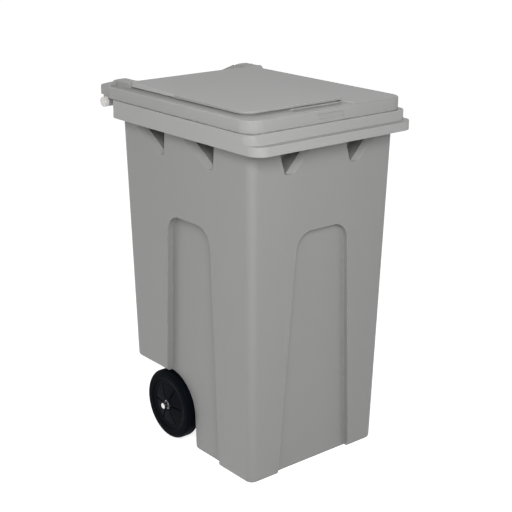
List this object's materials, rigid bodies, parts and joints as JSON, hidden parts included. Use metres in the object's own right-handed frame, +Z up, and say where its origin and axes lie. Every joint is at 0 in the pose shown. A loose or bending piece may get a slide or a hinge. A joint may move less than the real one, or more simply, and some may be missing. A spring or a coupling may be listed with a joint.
{
  "type": "wheelie bin",
  "caption": "Two-wheeled refuse bin: tapered tub with a lifting rim, hinged lid with a raised panel, bar handle at the back, steel axle and solid rubber tyres.",
  "frame": {"origin": "centre of the bounding box, on the ground", "axes": "+Z up, the front with its comb ledge faces -Y, the wheels and hinge are at +Y, the axle and hinge pins lie along X"},
  "size_m": [0.5798, 0.763, 1.0983],
  "materials": {
    "bin_plastic": "moulded, fine grain",
    "lid_plastic": "moulded, fine grain",
    "pin_plastic": "natural nylon",
    "hub_plastic": "moulded black",
    "tyre_rubber": "solid rubber",
    "axle_steel": "bright zinc plate",
    "washer_steel": "zinc plate",
    "ring_steel": "blackened spring steel"
  },
  "bodies": {
    "tub": {"body": "bin_plastic", "axle": "axle_steel", "hinge_pin_left": "pin_plastic", "hinge_pin_right": "pin_plastic", "inner_washer_left": "washer_steel", "inner_washer_right": "washer_steel", "outer_washer_left": "washer_steel", "outer_washer_right": "washer_steel", "retaining_ring_left": "ring_steel", "retaining_ring_right": "ring_steel"},
    "lid": {"lid": "lid_plastic"},
    "wheel_left": {"hub_left": "hub_plastic", "tyre_left": "tyre_rubber"},
    "wheel_right": {"hub_right": "hub_plastic", "tyre_right": "tyre_rubber"}
  },
  "joints": [
    {"name": "lid_hinge", "type": "hinge", "parent": "tub", "child": "lid", "pos_m": [0, 0.35301, 1.0281], "axis": [-1, 0, 0], "range_deg": [0, 255]},
    {"name": "wheel_left_spin", "type": "hinge", "parent": "tub", "child": "wheel_left", "pos_m": [-0.226, 0.1075, 0.11], "axis": [1, 0, 0], "continuous": true},
    {"name": "wheel_right_spin", "type": "hinge", "parent": "tub", "child": "wheel_right", "pos_m": [0.226, 0.1075, 0.11], "axis": [1, 0, 0], "continuous": true}
  ]
}
